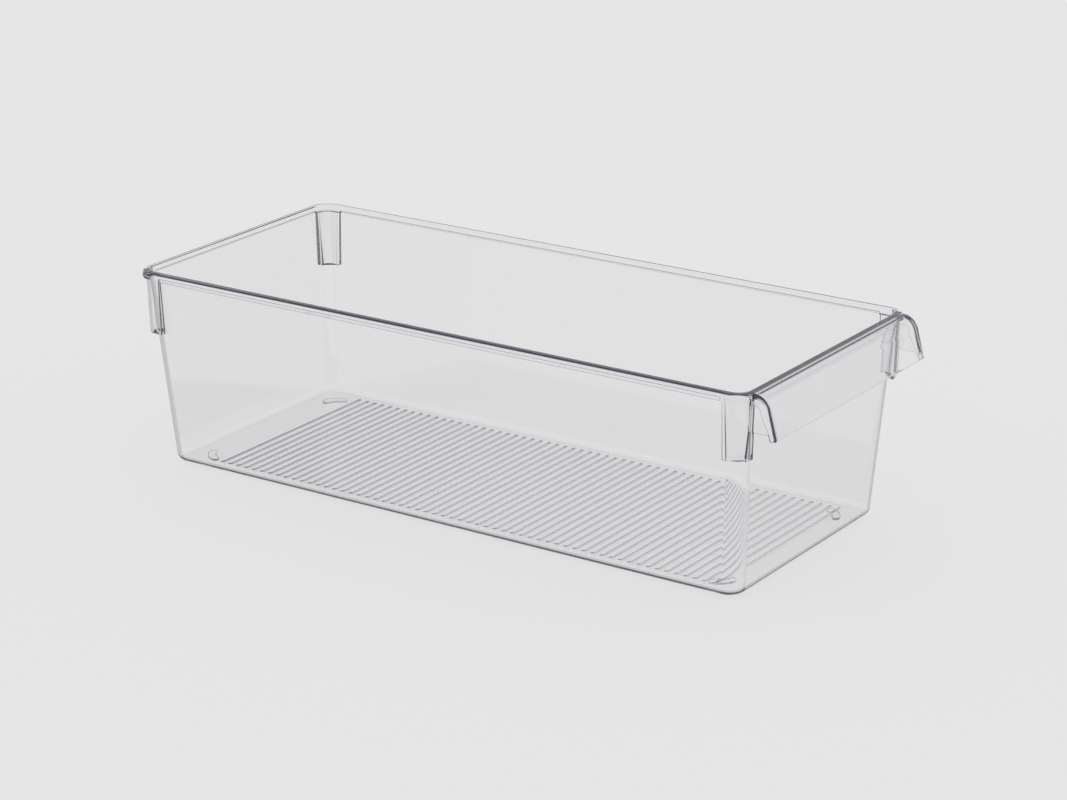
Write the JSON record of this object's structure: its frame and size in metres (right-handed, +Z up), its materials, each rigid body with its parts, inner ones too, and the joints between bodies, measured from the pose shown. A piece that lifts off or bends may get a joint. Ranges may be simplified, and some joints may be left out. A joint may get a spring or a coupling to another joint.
{
  "type": "fridge bin",
  "caption": "Clear tapered stacking bin for a refrigerator shelf, with a ribbed floor, a turned rim, corner stacking lugs and a curved pull lip at the front.",
  "frame": {"origin": "centre of the bounding box's bottom face, in the plane that the feet stand on", "axes": "+Z up; Y along the bin with the pull lip at the -Y end; X across the bin"},
  "size_m": [0.1432, 0.3408, 0.0962],
  "materials": {
    "clear_plastic": "clear, glossy, moulded, with a faint cool tint"
  },
  "bodies": {
    "root": {"tub": "clear_plastic", "rim": "clear_plastic", "pull_lip": "clear_plastic", "handle_cheek_left": "clear_plastic", "handle_cheek_right": "clear_plastic", "corner_lug_front_left": "clear_plastic", "corner_lug_front_right": "clear_plastic", "corner_lug_back_left": "clear_plastic", "corner_lug_back_right": "clear_plastic", "foot_front_left": "clear_plastic", "foot_front_right": "clear_plastic", "foot_back_left": "clear_plastic", "foot_back_right": "clear_plastic"}
  },
  "joints": []
}
